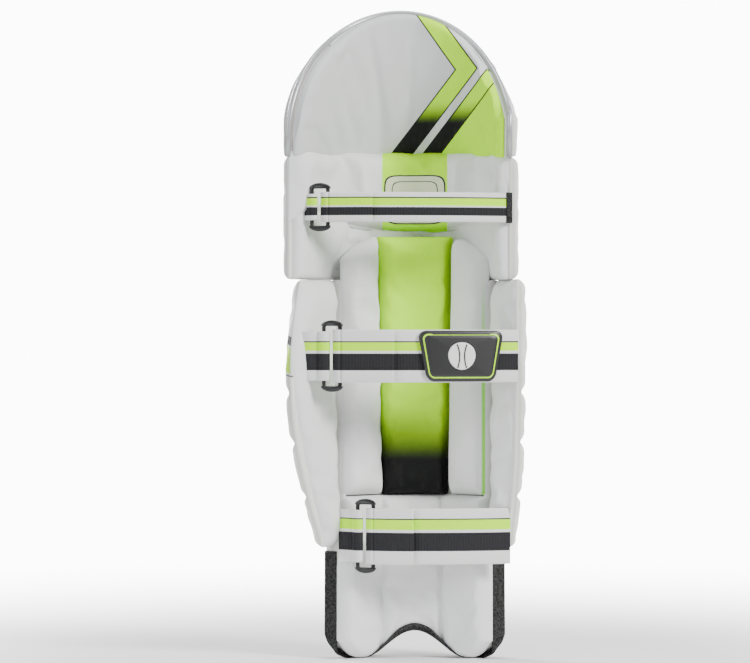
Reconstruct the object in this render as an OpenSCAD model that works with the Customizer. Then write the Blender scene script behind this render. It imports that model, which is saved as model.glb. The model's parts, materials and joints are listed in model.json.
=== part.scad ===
// Cricket leg pad for a batter's leg, as separate sewn and moulded pieces.
// Millimetres. +Z is up, z = 0 is the floor under the two instep lobes.
// The striking face looks along -Y, the leg goes behind it, the long outer wing is at +X.
// Walls are arcs about a vertical axis. An angle is measured from -Y towards +X.

/* [Shin] */
// Height of the seam between the shin and the knee roll
shin_top = 424; // [410:1:436]
// Lean of the shin face, its foot further back than its top
shin_lean = 4.5; // [2:0.5:6]
// Radius of the shin face at the seams between its channels
shin_r = 115; // [113:1:117]
// Number of cane channels in the shin and in the top hat
channels = 7; // [5:2:9]
// Height of a padded channel above its seams
channel_puff = 6; // [3:0.5:7]
// Diameter of a cane rod
cane_d = 8; // [5:0.5:8]

/* [Lobes] */
// Distance of each instep lobe's centre from the middle
lobe_x = 64; // [62:1:66]
// Radius of each instep lobe
lobe_r = 38; // [37:0.5:40]
// Height of the smooth notch between the lobes
notch_h = 30; // [28:1:32]

/* [Knee roll] */
// Radius of one knee bolster's section
bolster_r = 20.5; // [19:0.5:21]
// Pitch of the three bolsters
bolster_pitch = 45; // [44:0.5:46]

/* [Top hat] */
// Height of the whole pad
pad_height = 730; // [710:1:750]
// Lean of the top hat, its top further back
hat_lean = 12; // [8:1:14]

/* [Wings] */
// Thickness of a wing
wing_depth = 14; // [12:0.5:15]
// Bend radius of the long outer wing
outer_bend_r = 400; // [360:10:440]
// Bend radius of the short inner wing
inner_bend_r = 150; // [140:5:160]

/* [Straps] */
// Width of the knee strap
knee_strap_w = 33; // [28:1:36]
// Width of the calf strap
calf_strap_w = 58; // [50:1:60]
// Width of the ankle strap
ankle_strap_w = 62; // [50:1:64]
// Thickness of the strap webbing
web_t = 2.4; // [1.6:0.1:2.6]
// Wire diameter of a strap ring
wire_d = 4.4; // [3.6:0.1:4.6]
// Width of a strap ring between its two upright bars
ring_w = 18; // [16:0.5:20]

/* [Hidden] */
$fn = 96;

pu_white = "#E9E8E3";
pu_grey = "#C9C6BF";
lime = "#C8F02F";
charcoal = "#2B2B2C";
silver = "#A9AAAB";
foam_tint = "#F2E3B8";
cane_tint = "#D2B277";

skin = 2.5;
gap = 0.6;
seam_gap = 3;
reach = 350;
shin_half_angle = 58;
shin_canes_r = shin_r - skin - gap - cane_d / 2;
shin_foam_in = shin_r - 34;
shin_foam_out = shin_canes_r - cane_d / 2 - gap;
backing_in = shin_foam_in - 3;
bolster_in = 60;
calf_foot = 182;
calf_head = 474;
binding_w = 5;
binding_top = 120;
lobe_sink = 2;
lobe_z = lobe_r - lobe_sink;
instep_top = 97;
instep_half_w = 48;
instep_arc_r = 168;
cane_foot = 46;
cane_head_gap = 8;
calf_bolster_a = [30, 64];
calf_centre_a = 29;
calf_centre_in = bolster_in + 6;

knee_x = 6;
knee_y = -18;
knee_r = 124;
bolster_path_r = knee_r - bolster_r;
bolster_end_a = 54.5;
roll_end_h = 13;
knee_backing_out = bolster_path_r - 21.2;
knee_seam_r = 116;
knee_seam_a = 64;
hat_seam_a = 61;
side_bend_r = 1400;
knee_cushion_z = [480, 574];
knee_cushion_a = 66;
knee_backing_a = 62;
knee_backing_in = knee_backing_out - 2;
knee_outer_rear_y = 9;
knee_inner_rear_y = -10;
knee_outer_sweep = 5;
knee_inner_sweep = 28;
knee_foot = shin_top + seam_gap;
bolster_first_z = shin_top + 21.5;

hat_base = shin_top + 3 * bolster_pitch + 1;
knee_side_h = hat_base - seam_gap - knee_foot;
hat_r = knee_r - 12;
hat_half_angle = 60;
hat_hinge_y = -122;
hat_rim_x = 16;
hat_rim_half_w = 133;
piping_w = 4;
hat_foam_in = hat_r - 28;
hat_liner_in = hat_foam_in - 3;
hat_cane_inset = 16;
hat_outer_sweep = 6;
hat_inner_sweep = 30;

wing_seam_a = 59.2;
wing_foot = 124;
outer_wing_sweep = 24;
inner_wing_sweep = 34;
liner_t = 1.5;
liner_depth = wing_depth - gap - liner_t;

ring_head = 5;

badge_corner_r = 10;
instep_badge_at = [4, 65];
instep_badge_size = [58, 42];
knee_badge_at = [-23, 494];
knee_badge_size = [44, 56];

// ---- shared shapes ----

function polar(r, a) = [r * sin(a), -r * cos(a)];
function facets(r) = r > 200 ? 720 : 96;

// Catmull-Rom curve through the inner points of a list.
function curve_point(p, i, t) =
    0.5 * (2 * p[i] + (p[i + 1] - p[i - 1]) * t
    + (2 * p[i - 1] - 5 * p[i] + 4 * p[i + 1] - p[i + 2]) * t * t
    + (3 * p[i] - p[i - 1] - 3 * p[i + 1] + p[i + 2]) * t * t * t);
function curve(p, steps) = [
    for (i = [1 : len(p) - 3]) for (k = [0 : steps - 1]) curve_point(p, i, k / steps),
    p[len(p) - 2],
];

// Flat ring sector from angle a0 to angle a1.
module sector(r0, r1, a0, a1) {
    intersection() {
        difference() {
            circle(r1, $fn = facets(r1));
            circle(r0, $fn = facets(r0));
        }
        polygon([[0, 0], polar(2 * r1, a0), polar(2 * r1, (a0 + a1) / 2), polar(2 * r1, a1)]);
    }
}

// Row of padded channels standing on a wall, with thin seams between them.
module channel_row(r_in, r_seam, half_angle) {
    step = 2 * half_angle / channels;
    half_chord = r_seam * sin(step / 2);
    rib_r = (half_chord * half_chord + channel_puff * channel_puff) / (2 * channel_puff);
    rib_at = r_seam * cos(step / 2) + channel_puff - rib_r;
    intersection() {
        union() {
            for (i = [0 : channels - 1]) {
                translate(polar(rib_at, (i + 0.5) * step - half_angle)) circle(rib_r);
            }
        }
        sector(r_in, r_seam + 2 * channel_puff, -half_angle, half_angle);
    }
}

// Flat section of a wing that leaves a wall tangentially and bends with its own radius.
module wing_section(seam_r, seam_a, bend_r, depth0, depth1, sweep) {
    translate(polar(seam_r - bend_r, seam_a)) {
        sector(bend_r - depth1, bend_r - depth0, seam_a + 60 / bend_r, seam_a + sweep);
    }
}

module tall() { linear_extrude(height = 3 * reach, center = true) children(); }
module from_front() { rotate([90, 0, 0]) linear_extrude(height = 2 * reach, center = true) children(); }
module from_side() { rotate([90, 0, 90]) linear_extrude(height = 2 * reach, center = true) children(); }

module between(z0, z1) {
    translate([-reach, -reach, z0]) cube([2 * reach, 2 * reach, z1 - z0]);
}

module rounded_box_2d(w, h, r) {
    translate([-w / 2 + r, -h / 2]) square([w - 2 * r, h]);
    translate([-w / 2, -h / 2 + r]) square([w, h - 2 * r]);
    for (x = [-1, 1]) {
        for (z = [-1, 1]) {
            translate([x * (w / 2 - r), z * (h / 2 - r)]) circle(r);
        }
    }
}

// ---- where each group stands ----

module shin_frame() { translate([0, 0, shin_top]) rotate([shin_lean, 0, 0]) tall() children(); }
module knee_frame() { translate([knee_x, knee_y, 0]) children(); }
module hat_frame() {
    translate([knee_x, hat_hinge_y, hat_base]) {
        rotate([-hat_lean, 0, 0]) translate([0, knee_y - hat_hinge_y, 0]) tall() children();
    }
}

// ---- outlines ----

// Wave between the two lobes. It leaves each lobe level, at the lobe's lowest point.
function notch_z(x) = (notch_h + lobe_sink) * pow(cos(90 * x / lobe_x), 2) - lobe_sink;

module notch(inset) {
    wave = [for (k = [-12 : 12]) [k * lobe_x / 12, notch_z(k * lobe_x / 12) + inset]];
    polygon(concat([[-lobe_x, -lobe_r]], wave, [[lobe_x, -lobe_r]]));
}

module shin_outline(inset) {
    difference() {
        union() {
            for (x = [-1, 1]) {
                translate([x * lobe_x, lobe_z]) circle(lobe_r - inset);
            }
            translate([-lobe_x, -lobe_sink]) square([2 * lobe_x, lobe_r]);
            translate([-reach, lobe_z]) square([2 * reach, shin_top - seam_gap - lobe_z]);
        }
        notch(inset);
    }
}

module instep_outline(grow) {
    intersection() {
        translate([0, instep_top - instep_arc_r]) circle(instep_arc_r + grow);
        translate([-instep_half_w - grow, 0]) square([2 * (instep_half_w + grow), instep_arc_r]);
    }
}

module outer_wing_outline() {
    edge = [
        [-10, 470], [12, shin_top - seam_gap], [35, 372], [48, 318], [42, 286],
        [22, 237], [-6, 170], [-20, wing_foot], [-30, 80],
    ];
    polygon(concat([[-reach, wing_foot], [-reach, shin_top - seam_gap]], curve(edge, 6)));
}

module inner_wing_outline() {
    edge = [[8, 470], [9, shin_top - seam_gap], [15, 340], [8, 240], [-8, 160], [-14, wing_foot], [-18, 80]];
    polygon(concat([[-reach, wing_foot], [-reach, shin_top - seam_gap]], curve(edge, 4)));
}

module hat_outline(inset) {
    half_w = hat_rim_half_w - inset;
    height = pad_height - hat_base - inset;
    arch = [for (t = [0 : 7.5 : 180]) [hat_rim_x + half_w * cos(t), hat_base + height * pow(sin(t), 0.86)]];
    intersection() {
        polygon(arch);
        translate([-reach, hat_base + seam_gap - 0.5]) square([2 * reach, reach]);
    }
}

// ---- shin ----

module shin_layer(r0, r1, half_angle, inset) {
    intersection() {
        shin_frame() sector(r0, r1, -half_angle, half_angle);
        from_front() shin_outline(inset);
    }
}

module shin_facing() {
    color(pu_white) difference() {
        intersection() {
            shin_frame() channel_row(shin_r - skin, shin_r, shin_half_angle);
            from_front() shin_outline(binding_w + gap);
        }
        from_front() instep_outline(gap);
    }
}

module shin_canes() {
    step = 2 * shin_half_angle / channels;
    for (i = [0 : channels - 1]) {
        a = (i + 0.5) * step - shin_half_angle;
        foot = abs(shin_r * sin(a)) < instep_half_w + cane_d ? instep_top + cane_d : cane_foot;
        color(cane_tint) intersection() {
            shin_frame() translate(polar(shin_canes_r, a)) circle(d = cane_d);
            between(foot, shin_top - cane_head_gap);
        }
    }
}

module shin_foam() {
    color(foam_tint) shin_layer(shin_foam_in, shin_foam_out, shin_half_angle - 0.5, binding_w + gap);
}

module shin_backing() {
    color(pu_grey) intersection() {
        shin_layer(backing_in, shin_foam_in - gap, shin_half_angle - 0.5, binding_w);
        between(calf_foot, shin_top - seam_gap);
    }
}

module instep_patch() {
    color(pu_white) intersection() {
        shin_layer(shin_r - skin, shin_r + 1.5, shin_half_angle, binding_w + gap);
        from_front() instep_outline(0);
    }
}

module instep_foam() {
    color(foam_tint) intersection() {
        shin_layer(shin_foam_out + gap, shin_r - skin - gap, shin_half_angle, binding_w + gap);
        from_front() instep_outline(0);
    }
}

module instep_badge() {
    color(charcoal) intersection() {
        shin_layer(shin_r + 1.5 + gap, shin_r + 4.5, shin_half_angle, binding_w + gap);
        from_front() translate(instep_badge_at) {
            rounded_box_2d(instep_badge_size[0], instep_badge_size[1], badge_corner_r);
        }
    }
}

module lower_binding() {
    color(charcoal) intersection() {
        difference() {
            intersection() {
                shin_frame() sector(backing_in - 3, shin_r + 1, -shin_half_angle - 3, shin_half_angle + 3);
                from_front() shin_outline(0);
            }
            intersection() {
                shin_frame() {
                    sector(backing_in - 20, shin_r + 20, -shin_half_angle - gap, shin_half_angle + gap);
                }
                from_front() shin_outline(binding_w);
            }
        }
        between(0, binding_top);
    }
}

module ankle_liner() {
    color(pu_grey) intersection() {
        shin_layer(backing_in - 6, shin_foam_in - gap, shin_half_angle - 0.5, binding_w + gap);
        between(0, calf_foot - gap);
    }
}

module calf_wall(a0, a1, r0) {
    intersection() {
        shin_frame() sector(r0, backing_in - gap, a0, a1);
        between(calf_foot, calf_head);
    }
}

module calf_bolster() { calf_wall(calf_bolster_a[0], calf_bolster_a[1], bolster_in); }
module calf_bolster_outer() { color(pu_white) calf_bolster(); }
module calf_bolster_inner() { color(pu_white) mirror([1, 0, 0]) calf_bolster(); }
module calf_centre_panel() {
    color(lime) calf_wall(-calf_centre_a, calf_centre_a, calf_centre_in);
}

// ---- wings ----

module outer_wing_layer(depth0, depth1) {
    intersection() {
        shin_frame() wing_section(shin_r, wing_seam_a, outer_bend_r, depth0, depth1, outer_wing_sweep);
        from_side() outer_wing_outline();
    }
}

module inner_wing_layer(depth0, depth1) {
    intersection() {
        mirror([1, 0, 0]) shin_frame() {
            wing_section(shin_r, wing_seam_a, inner_bend_r, depth0, depth1, inner_wing_sweep);
        }
        from_side() inner_wing_outline();
    }
}

module outer_wing_cover() { color(pu_white) outer_wing_layer(0, skin); }
module outer_wing_foam() { color(foam_tint) outer_wing_layer(skin + gap, liner_depth - gap); }
module outer_wing_liner() { color(pu_grey) outer_wing_layer(liner_depth, wing_depth); }
module inner_wing_cover() { color(pu_white) inner_wing_layer(0, skin); }
module inner_wing_foam() { color(foam_tint) inner_wing_layer(skin + gap, liner_depth - gap); }
module inner_wing_liner() { color(pu_grey) inner_wing_layer(liner_depth, wing_depth); }

// ---- knee roll ----

// Roll of section radius r that follows the knee.
module bend(r) {
    rotate([0, 0, -90 - bolster_end_a]) {
        rotate_extrude(angle = 2 * bolster_end_a) translate([bolster_path_r, 0]) circle(r);
    }
}

// Tapered end of a roll.
module roll_end() {
    translate(polar(bolster_path_r, bolster_end_a)) rotate([0, 90, bolster_end_a]) {
        translate([0, 0, -1]) cylinder(h = roll_end_h, r1 = bolster_r - 0.5, r2 = bolster_r * 0.55);
    }
}

// Stuffed cover of one bolster, open along its back where it is sewn to the backing.
module knee_bolster(level) {
    color(pu_white) knee_frame() translate([0, 0, bolster_first_z + level * bolster_pitch]) {
        difference() {
            union() {
                bend(bolster_r);
                roll_end();
                mirror([1, 0, 0]) roll_end();
            }
            bend(bolster_r - skin);
            cylinder(h = 3 * bolster_r, r = bolster_path_r - bolster_r * 0.7, center = true);
        }
    }
}

module knee_bolster_lower() { knee_bolster(0); }
module knee_bolster_middle() { knee_bolster(1); }
module knee_bolster_upper() { knee_bolster(2); }

module knee_bolster_cores() {
    for (level = [0 : 2]) {
        color(foam_tint) knee_frame() translate([0, 0, bolster_first_z + level * bolster_pitch]) {
            bend(bolster_r - skin - gap);
        }
    }
}

module knee_backing() {
    color(pu_grey) knee_frame() intersection() {
        tall() sector(knee_backing_in, knee_backing_out, -knee_backing_a, knee_backing_a);
        between(knee_foot, hat_base - seam_gap);
    }
}

module knee_cushion() {
    color(pu_white) knee_frame() intersection() {
        tall() sector(bolster_in, knee_backing_in - gap, -knee_cushion_a, knee_cushion_a);
        between(knee_cushion_z[0], knee_cushion_z[1]);
    }
}

module knee_side_outer(depth0, depth1) {
    intersection() {
        knee_frame() tall() {
            wing_section(knee_seam_r, knee_seam_a, side_bend_r, depth0, depth1, knee_outer_sweep);
        }
        translate([0, knee_outer_rear_y - reach, knee_foot]) cube([reach, reach, knee_side_h]);
    }
}

module knee_side_inner(depth0, depth1) {
    intersection() {
        knee_frame() mirror([1, 0, 0]) tall() {
            wing_section(knee_seam_r, knee_seam_a, inner_bend_r, depth0, depth1, knee_inner_sweep);
        }
        translate([-reach, knee_inner_rear_y - reach, knee_foot]) cube([reach, reach, knee_side_h]);
    }
}

module knee_side_outer_cover() { color(pu_white) knee_side_outer(0, skin); }
module knee_side_outer_foam() { color(foam_tint) knee_side_outer(skin + gap, wing_depth); }
module knee_side_inner_cover() { color(pu_white) knee_side_inner(0, skin); }
module knee_side_inner_foam() { color(foam_tint) knee_side_inner(skin + gap, wing_depth); }

module knee_side_badge() {
    color(charcoal) intersection() {
        knee_side_outer(-3, -gap);
        from_side() translate(knee_badge_at) {
            rounded_box_2d(knee_badge_size[0], knee_badge_size[1], badge_corner_r);
        }
    }
}

// ---- top hat ----

module hat_layer(r0, r1, inset) {
    intersection() {
        hat_frame() sector(r0, r1, -hat_half_angle, hat_half_angle);
        from_front() hat_outline(inset);
    }
}

module hat_facing() {
    color(pu_white) intersection() {
        hat_frame() channel_row(hat_r - skin, hat_r, hat_half_angle);
        from_front() hat_outline(piping_w + gap);
    }
}

module hat_canes() {
    step = 2 * hat_half_angle / channels;
    for (i = [0 : channels - 1]) {
        color(cane_tint) intersection() {
            hat_frame() {
                translate(polar(hat_r - skin - gap - cane_d / 2, (i + 0.5) * step - hat_half_angle)) {
                    circle(d = cane_d);
                }
            }
            from_front() hat_outline(hat_cane_inset);
        }
    }
}

module hat_foam() {
    color(foam_tint) hat_layer(hat_foam_in, hat_r - skin - 2 * gap - cane_d, piping_w + gap);
}

module hat_liner() {
    color(silver) hat_layer(hat_liner_in, hat_foam_in - gap, piping_w + gap);
}

module hat_side_section(depth0, depth1) {
    wing_section(hat_r, hat_seam_a, side_bend_r, depth0, depth1, hat_outer_sweep);
}

module hat_inner_section(depth0, depth1) {
    mirror([1, 0, 0]) wing_section(hat_r, hat_seam_a, inner_bend_r, depth0, depth1, hat_inner_sweep);
}

module piping_side(bend_r, sweep) {
    wing_section(hat_r + 1, hat_seam_a - 2, bend_r, 0, wing_depth + 2, sweep);
}

module hat_piping() {
    color(silver) difference() {
        intersection() {
            hat_frame() {
                sector(hat_liner_in, hat_r + 1, -hat_half_angle - 1, hat_half_angle + 1);
                piping_side(side_bend_r, hat_outer_sweep + 2);
                mirror([1, 0, 0]) piping_side(inner_bend_r, hat_inner_sweep + 2);
            }
            from_front() hat_outline(0);
        }
        from_front() hat_outline(piping_w);
    }
}

module hat_side_outer_cover() {
    color(pu_grey) intersection() {
        hat_frame() hat_side_section(0, skin);
        from_front() hat_outline(piping_w + gap);
    }
}

module hat_side_outer_foam() {
    color(foam_tint) intersection() {
        hat_frame() hat_side_section(skin + gap, wing_depth);
        from_front() hat_outline(piping_w + gap);
    }
}

module hat_side_inner_panel() {
    color(pu_white) intersection() {
        hat_frame() hat_inner_section(0, wing_depth);
        from_front() hat_outline(piping_w + gap);
    }
}

// ---- straps ----
// A strap is [height, width, sewn end, ring end, bulge, length of the fold-back flap, tab end].

knee_strap = [503.5, knee_strap_w, [-108, -8], [96, 15], 14, 50, [125.5, 4]];
calf_strap = [339, calf_strap_w, [-114, 17.5], [82, 42], 14, 60, [121.5, 35]];
ankle_strap = [139, ankle_strap_w, [-106, -4.5], [46, 2], 12, 46, [84, -19]];

function chord(s) = norm(s[3] - s[2]);
function arc_r(s) = (chord(s) * chord(s) / 4 + s[4] * s[4]) / (2 * s[4]);
function arc_half(s) = asin(chord(s) / 2 / arc_r(s));
function chord_angle(s) = atan2(s[3][1] - s[2][1], s[3][0] - s[2][0]);
function arc_centre(s) =
    (s[2] + s[3]) / 2 - (arc_r(s) - s[4]) * [-sin(chord_angle(s)), cos(chord_angle(s))];
function arc_length(s) = arc_r(s) * 2 * arc_half(s) * PI / 180;
function as_angle(s, length) = length * 180 / (PI * arc_r(s));
function ring_angle(s) = chord_angle(s) - arc_half(s);
function ring_pin(s) = s[3] + ring_w * [cos(ring_angle(s)), sin(ring_angle(s))];

flap_in = web_t / 2 + 1.9;
flap_over = 1.5;
web_clear = 1.4;
hook_t = 1.1;
hook_gap = 0.3;
hook_start = 8;
hook_inset = 4;
ring_corner_r = 5;
bore_clear = 0.3;

// Band on a strap's arc between two depths, from one length to another, measured from the ring.
module strap_band(s, depth0, depth1, from_ring, to_ring, w) {
    translate([0, 0, s[0] - w / 2]) linear_extrude(height = w) {
        translate(arc_centre(s)) rotate(chord_angle(s)) mirror([0, 1]) {
            sector(
                arc_r(s) + depth0, arc_r(s) + depth1,
                arc_half(s) - as_angle(s, to_ring), arc_half(s) - as_angle(s, from_ring)
            );
        }
    }
}

module strap_web(s) {
    color(lime) strap_band(s, -web_t / 2, web_t / 2, wire_d / 2 + web_clear, arc_length(s), s[1]);
}

module strap_flap(s) {
    color(lime) strap_band(s, flap_in, flap_in + web_t, -flap_over, s[5], s[1]);
}

module strap_hook(s) {
    depth = flap_in - hook_gap;
    color(charcoal) {
        strap_band(s, depth - hook_t, depth, hook_start, s[5] - hook_inset, s[1] - 1.5 * hook_inset);
    }
}

module ring_frame(s) { translate([s[3][0], s[3][1], s[0]]) rotate(ring_angle(s)) children(); }

// Upright wire loop with rounded corners, its free bar on the local Z axis.
module ring_loop(w, h, r, wire) {
    for (x = [0, w]) {
        translate([x, 0, -h / 2 + r]) cylinder(h = h - 2 * r, d = wire, $fn = 32);
    }
    for (z = [-h / 2, h / 2]) {
        translate([r, 0, z]) rotate([0, 90, 0]) cylinder(h = w - 2 * r, d = wire, $fn = 32);
    }
    for (turn = [0 : 3]) {
        corner = [turn == 0 || turn == 3 ? w - r : r, turn < 2 ? h / 2 - r : -h / 2 + r];
        translate([corner[0], 0, corner[1]]) rotate([90, 0, 0]) rotate(turn * 90) {
            rotate_extrude(angle = 90) translate([r, 0]) circle(d = wire, $fn = 32);
        }
    }
}

module strap_ring(s) {
    h = s[1] + 2 * (ring_head + wire_d / 2);
    color(charcoal) ring_frame(s) ring_loop(ring_w, h, ring_corner_r, wire_d);
}

module strap_tab(s) {
    pin = ring_pin(s);
    run = s[6] - pin;
    bore_r = wire_d / 2 + bore_clear;
    w = s[1] - 4;
    color(pu_white) translate([pin[0], pin[1], s[0] - w / 2]) linear_extrude(height = w) {
        difference() {
            union() {
                circle(bore_r + web_t / 2);
                rotate(atan2(run[1], run[0])) translate([0, -web_t / 2]) square([norm(run), web_t]);
            }
            circle(bore_r);
        }
    }
}

module knee_strap_web() { strap_web(knee_strap); }
module knee_strap_flap() { strap_flap(knee_strap); }
module knee_strap_hook() { strap_hook(knee_strap); }
module knee_strap_tab() { strap_tab(knee_strap); }
module knee_strap_ring() { strap_ring(knee_strap); }
module calf_strap_web() { strap_web(calf_strap); }
module calf_strap_flap() { strap_flap(calf_strap); }
module calf_strap_hook() { strap_hook(calf_strap); }
module calf_strap_tab() { strap_tab(calf_strap); }
module calf_strap_ring() { strap_ring(calf_strap); }
module ankle_strap_web() { strap_web(ankle_strap); }
module ankle_strap_flap() { strap_flap(ankle_strap); }
module ankle_strap_hook() { strap_hook(ankle_strap); }
module ankle_strap_tab() { strap_tab(ankle_strap); }
module ankle_strap_ring() { strap_ring(ankle_strap); }

module calf_strap_badge() {
    color(charcoal) intersection() {
        strap_band(calf_strap, web_t / 2 + gap, web_t / 2 + 3, 60, 190, calf_strap_w - 4);
        from_front() translate([-52, calf_strap[0]]) rounded_box_2d(90, calf_strap_w - 10, 10);
    }
}

shin_facing();
shin_canes();
shin_foam();
shin_backing();
instep_patch();
instep_foam();
instep_badge();
lower_binding();
ankle_liner();
calf_bolster_outer();
calf_bolster_inner();
calf_centre_panel();
outer_wing_cover();
outer_wing_foam();
outer_wing_liner();
inner_wing_cover();
inner_wing_foam();
inner_wing_liner();
knee_bolster_upper();
knee_bolster_middle();
knee_bolster_lower();
knee_bolster_cores();
knee_backing();
knee_cushion();
knee_side_outer_cover();
knee_side_outer_foam();
knee_side_inner_cover();
knee_side_inner_foam();
knee_side_badge();
hat_facing();
hat_canes();
hat_foam();
hat_liner();
hat_piping();
hat_side_outer_cover();
hat_side_outer_foam();
hat_side_inner_panel();
knee_strap_web();
knee_strap_flap();
knee_strap_hook();
knee_strap_tab();
knee_strap_ring();
calf_strap_web();
calf_strap_flap();
calf_strap_hook();
calf_strap_tab();
calf_strap_ring();
calf_strap_badge();
ankle_strap_web();
ankle_strap_flap();
ankle_strap_hook();
ankle_strap_tab();
ankle_strap_ring();
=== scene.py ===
"""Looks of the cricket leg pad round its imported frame. Metres, +Z up, striking face towards -Y."""

import json
import math

import bmesh
import bpy
import numpy as np
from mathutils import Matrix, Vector


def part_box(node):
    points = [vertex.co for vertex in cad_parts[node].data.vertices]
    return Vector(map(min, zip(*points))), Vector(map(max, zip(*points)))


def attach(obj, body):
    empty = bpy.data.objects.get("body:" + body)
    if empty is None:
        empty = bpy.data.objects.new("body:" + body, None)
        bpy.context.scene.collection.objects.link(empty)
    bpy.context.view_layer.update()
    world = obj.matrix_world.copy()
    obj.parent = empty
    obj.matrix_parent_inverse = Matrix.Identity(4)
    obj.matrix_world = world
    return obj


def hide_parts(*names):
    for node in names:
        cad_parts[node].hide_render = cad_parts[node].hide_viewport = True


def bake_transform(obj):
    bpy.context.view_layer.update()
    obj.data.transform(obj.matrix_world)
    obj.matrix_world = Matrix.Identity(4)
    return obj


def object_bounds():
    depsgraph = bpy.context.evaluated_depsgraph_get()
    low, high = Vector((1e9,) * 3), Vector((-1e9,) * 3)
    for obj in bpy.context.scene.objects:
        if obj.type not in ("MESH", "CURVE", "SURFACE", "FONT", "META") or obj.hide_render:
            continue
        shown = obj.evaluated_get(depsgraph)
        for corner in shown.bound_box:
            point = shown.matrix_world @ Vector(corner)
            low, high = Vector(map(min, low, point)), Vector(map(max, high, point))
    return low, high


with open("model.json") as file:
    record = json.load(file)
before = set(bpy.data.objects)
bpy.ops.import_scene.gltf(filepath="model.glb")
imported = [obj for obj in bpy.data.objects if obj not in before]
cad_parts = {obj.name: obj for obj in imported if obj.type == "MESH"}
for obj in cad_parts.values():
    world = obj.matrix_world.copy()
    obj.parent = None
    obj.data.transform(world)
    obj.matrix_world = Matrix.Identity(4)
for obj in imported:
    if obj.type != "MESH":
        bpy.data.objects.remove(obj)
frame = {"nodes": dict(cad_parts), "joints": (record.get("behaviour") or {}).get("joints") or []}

CAD_BOX = [list(corner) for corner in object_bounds()]
JOINTS = {j["name"]: j for j in frame["joints"]}
MM = 0.001

# ---- sizes, from the frame where it holds them ----

SHIN_TOP = JOINTS["knee_flex"]["pos_m"][2]
HAT_BASE = JOINTS["hat_flex"]["pos_m"][2]
HAT_HINGE_Y = JOINTS["hat_flex"]["pos_m"][1]
PAD_TOP = CAD_BOX[1][2]
SHIN_LEAN = math.atan2(JOINTS["outer_wing_flex"]["axis"][1], -JOINTS["outer_wing_flex"]["axis"][2])
HAT_LEAN = -math.radians(12)
KNEE_CENTRE = (6 * MM, -18 * MM)
CHANNELS = 7
CAP_Z = SHIN_TOP - 39 * MM
SEAM_LAP = 0.5 * MM
SHIN_EDGE_Z = SHIN_TOP + SEAM_LAP
HAT_FOOT = HAT_BASE - SEAM_LAP
CALF_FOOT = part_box("calf_centre_panel")[0].z
CALF_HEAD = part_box("calf_centre_panel")[1].z
INSTEP_TOP = 97 * MM
WING_SPAN = 100 * MM
BOLSTER_PITCH = 45 * MM
LOBE_X = 64 * MM
LOBE_R = 38 * MM
LOBE_SINK = 2 * MM
NOTCH_H = 30 * MM
BINDING_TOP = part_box("lower_binding")[1].z
HAT_RIM_X = 16 * MM
HAT_RIM_HALF_W = 133 * MM
HAT_INNER_REACH = 74 * MM
SEAM_DROP = 2.5 * MM

# ---- colours ----

WHITE = (0.80, 0.795, 0.77)
LINING = (0.78, 0.785, 0.79)
GREY = (0.56, 0.545, 0.51)
LIME = (0.53, 1.0, 0.0)
BLACK = (0.006, 0.006, 0.0065)
CHARCOAL = (0.022, 0.022, 0.025)


# ---- walls: where a point of a panel stands ----


class Wall:
    """A front arc that runs on into a bent wing at each side, leant about a sideways axis.

    A point is given by s, the length round the wall from its middle towards +X, its height z, and its depth
    outwards from the wall's face."""

    def __init__(self, centre, radius, seam_deg, outer_bend, inner_bend, lean=0.0, hinge=(0.0, 0.0)):
        self.centre = centre
        self.radius = radius
        self.seam = math.radians(seam_deg)
        self.edge = radius * self.seam
        self.bends = {1: outer_bend, -1: inner_bend}
        self.lean = lean
        self.hinge = hinge

    def flat(self, s, depth):
        """x and y before the lean."""
        side = np.where(s < 0, -1.0, 1.0)
        run = np.abs(s)
        bend = np.where(s < 0, self.bends[-1], self.bends[1])
        on_arc = run <= self.edge
        angle = np.where(on_arc, run / self.radius, self.seam + (run - self.edge) / bend)
        reach = np.where(on_arc, self.radius, bend) + depth
        offset = np.where(on_arc, 0.0, self.radius - bend)
        x = offset * math.sin(self.seam) + reach * np.sin(angle)
        y = -offset * math.cos(self.seam) - reach * np.cos(angle)
        return self.centre[0] + side * x, self.centre[1] + y

    def point(self, s, z, depth=0.0):
        """World points of equal shaped arrays s, z and depth."""
        s, z, depth = np.broadcast_arrays(np.asarray(s, float), z, depth)
        x, y = self.flat(s, depth)
        hinge_y, hinge_z = self.hinge
        sin, cos = math.sin(self.lean), math.cos(self.lean)
        dy = y - hinge_y
        rise = (z - hinge_z - dy * sin) / cos
        return np.stack([x, hinge_y + dy * cos - rise * sin, z], axis=-1)

    def length_to_y(self, y, z, side=1):
        """The length round the wall at which its face reaches y at height z."""
        runs = np.linspace(0, 0.35, 701) * side
        ys = self.point(runs, np.full(701, z))[:, 1]
        return float(runs[np.argmin(np.abs(ys - y))])


SHIN = Wall((0, 0), 115 * MM, 59.2, 0.40, 0.15, SHIN_LEAN, (0, SHIN_TOP))
KNEE = Wall(KNEE_CENTRE, 116 * MM, 64, 1.4, 0.15)
HAT = Wall(KNEE_CENTRE, 112 * MM, 61, 1.4, 0.15, HAT_LEAN, (HAT_HINGE_Y, HAT_BASE))


# ---- mesh helpers ----


def mesh_object(name, verts, faces, materials):
    mesh = bpy.data.meshes.new(name)
    mesh.from_pydata([tuple(map(float, v)) for v in verts], [], faces)
    shape = bmesh.new()
    shape.from_mesh(mesh)
    bmesh.ops.recalc_face_normals(shape, faces=shape.faces)
    shape.to_mesh(mesh)
    shape.free()
    mesh.polygons.foreach_set("use_smooth", [True] * len(mesh.polygons))
    for m in materials:
        mesh.materials.append(m)
    obj = bpy.data.objects.new(name, mesh)
    bpy.context.scene.collection.objects.link(obj)
    return obj


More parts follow.
